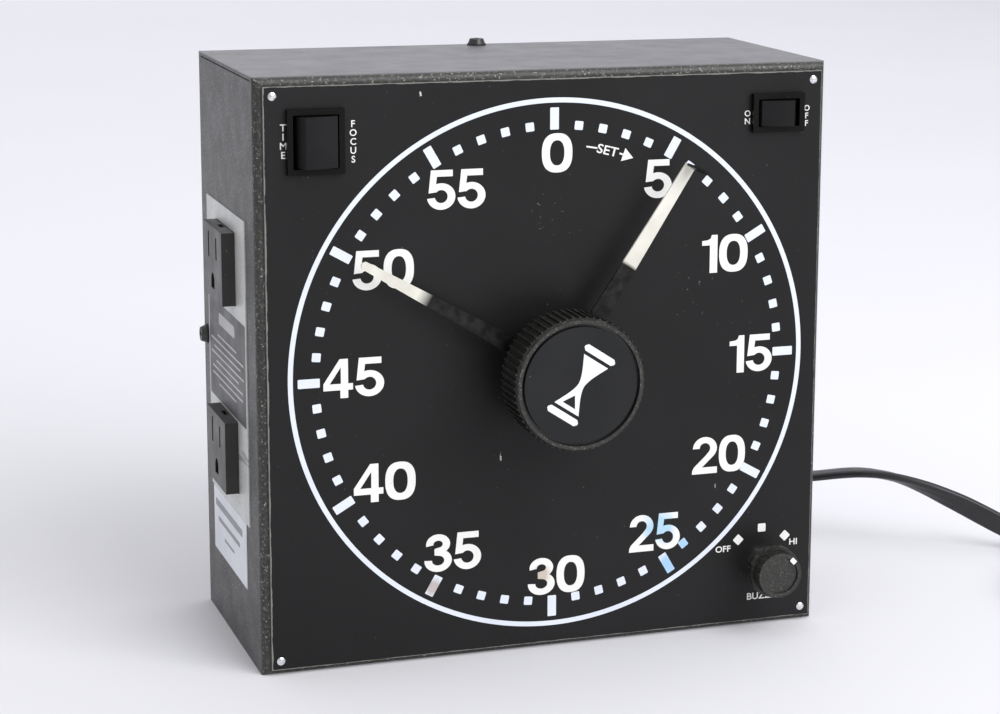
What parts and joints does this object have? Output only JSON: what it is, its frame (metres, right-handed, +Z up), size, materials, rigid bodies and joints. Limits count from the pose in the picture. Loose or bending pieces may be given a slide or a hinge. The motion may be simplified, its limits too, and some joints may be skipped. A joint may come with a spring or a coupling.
{
  "type": "interval timer",
  "caption": "Mains interval timer on a square steel case: dial with two geared hands, a ribbed setting knob, rocker switches, buzzer control and side outlets.",
  "frame": {"origin": "centre of the base, under the middle of the case", "axes": "+X to the right seen from the front, +Y to the rear, +Z up; the dial faces -Y"},
  "size_m": [0.4005, 0.2315, 0.2054],
  "materials": {
    "case_coat": "fine wrinkle coat, worn at the edges",
    "cover_coat": "fine wrinkle coat",
    "panel_coat": "satin black with dust and fine scratches",
    "pin_metal": "bright domed heads",
    "label_foil": "matt printed foil",
    "sticker_paper": "white printed sticker",
    "outlet_plastic": "dark grey moulding",
    "contact_metal": "bare sprung brass",
    "switch_plastic": "black moulding",
    "rocker_plastic": "black, polished by use",
    "terminal_metal": "plated brass tabs",
    "knob_plastic": "black, ribbed, with a worn rim",
    "disc_metal": "dark satin inlay",
    "hand_paint": "cream and black paint",
    "arbor_steel": "turned steel",
    "gear_brass": "cut brass",
    "cam_plastic": "natural moulding",
    "frame_steel": "plated sheet",
    "motor_steel": "drawn can",
    "winding_wire": "enamelled copper wire",
    "block_plastic": "cream moulding",
    "screw_black": "blackened steel",
    "cord_rubber": "black flexible cord",
    "plug_plastic": "black moulded plug",
    "blade_brass": "folded brass blades"
  },
  "bodies": {
    "case_body": {"case": "case_coat", "rear_cover": "cover_coat", "rear_cover_screws": "screw_black", "screw_washers": "screw_black", "dial_panel": "panel_coat", "panel_pins": "pin_metal", "outlet_label": "label_foil", "lower_sticker": "sticker_paper", "upper_outlet": "outlet_plastic", "lower_outlet": "outlet_plastic", "outlet_contacts": "contact_metal", "time_switch_housing": "switch_plastic", "power_switch_housing": "switch_plastic", "switch_terminals": "terminal_metal", "centre_bush": "gear_brass", "centre_bush_nut": "gear_brass", "movement_front_plate": "frame_steel", "movement_back_plate": "frame_steel", "movement_pillars": "frame_steel", "mounting_posts": "frame_steel", "movement_screws": "arbor_steel", "drive_motor": "motor_steel", "cam_switch": "switch_plastic", "buzzer_control": "motor_steel", "buzzer_control_nut": "arbor_steel", "buzzer_bracket": "frame_steel", "buzzer_coil": "winding_wire", "buzzer_core": "frame_steel", "buzzer_reed": "arbor_steel", "terminal_block": "block_plastic", "strain_relief": "cord_rubber", "power_cord": "cord_rubber", "cord_coil": "cord_rubber", "cord_tail": "cord_rubber", "cord_tie": "cord_rubber", "plug_body": "plug_plastic", "plug_blades": "blade_brass"},
    "second_shaft": {"setting_knob": "knob_plastic", "knob_disc": "disc_metal", "second_hand": "hand_paint", "second_arbor": "arbor_steel", "second_wheel": "gear_brass"},
    "idler_shaft": {"idler_arbor": "arbor_steel", "idler_wheel": "gear_brass"},
    "minute_shaft": {"minute_tube": "arbor_steel", "minute_wheel": "gear_brass", "minute_hand": "hand_paint", "timing_cam": "cam_plastic"},
    "motor_shaft": {"motor_pinion": "arbor_steel"},
    "time_paddle": {"time_rocker": "rocker_plastic"},
    "power_paddle": {"power_rocker": "rocker_plastic"},
    "buzzer_spindle": {"buzzer_knob": "knob_plastic", "buzzer_shaft": "arbor_steel"},
    "cam_lever": {"cam_switch_lever": "frame_steel"}
  },
  "joints": [
    {"name": "second_turn", "type": "hinge", "parent": "case_body", "child": "second_shaft", "pos_m": [0.00125, -0.0585, 0.1007], "axis": [0, 1, 0], "continuous": true},
    {"name": "idler_turn", "type": "hinge", "parent": "case_body", "child": "idler_shaft", "pos_m": [0.00125, -0.0385, 0.1259], "axis": [0, 1, 0], "continuous": true},
    {"name": "minute_turn", "type": "hinge", "parent": "case_body", "child": "minute_shaft", "pos_m": [0.00125, -0.052, 0.1007], "axis": [0, 1, 0], "continuous": true},
    {"name": "motor_turn", "type": "hinge", "parent": "case_body", "child": "motor_shaft", "pos_m": [0.00125, -0.0369, 0.0755], "axis": [0, 1, 0], "continuous": true},
    {"name": "time_rock", "type": "hinge", "parent": "case_body", "child": "time_paddle", "pos_m": [-0.0813, -0.0435, 0.1817], "axis": [0, 0, -1], "range_deg": [0, 24]},
    {"name": "power_rock", "type": "hinge", "parent": "case_body", "child": "power_paddle", "pos_m": [0.0828, -0.0435, 0.1859], "axis": [0, 0, 1], "range_deg": [0, 24]},
    {"name": "buzzer_turn", "type": "hinge", "parent": "case_body", "child": "buzzer_spindle", "pos_m": [0.0806, -0.0535, 0.0234], "axis": [0, 1, 0], "range_deg": [-90, 0]},
    {"name": "cam_lever_swing", "type": "hinge", "parent": "case_body", "child": "cam_lever", "pos_m": [-0.02601, -0.0324, 0.09026], "axis": [0, -1, 0], "range_deg": [0, 7]}
  ],
  "couplings": [
    {"joint": "idler_turn", "follows": "second_turn", "ratio": -0.125},
    {"joint": "minute_turn", "follows": "second_turn", "ratio": 0.016667},
    {"joint": "motor_turn", "follows": "second_turn", "ratio": -5}
  ]
}
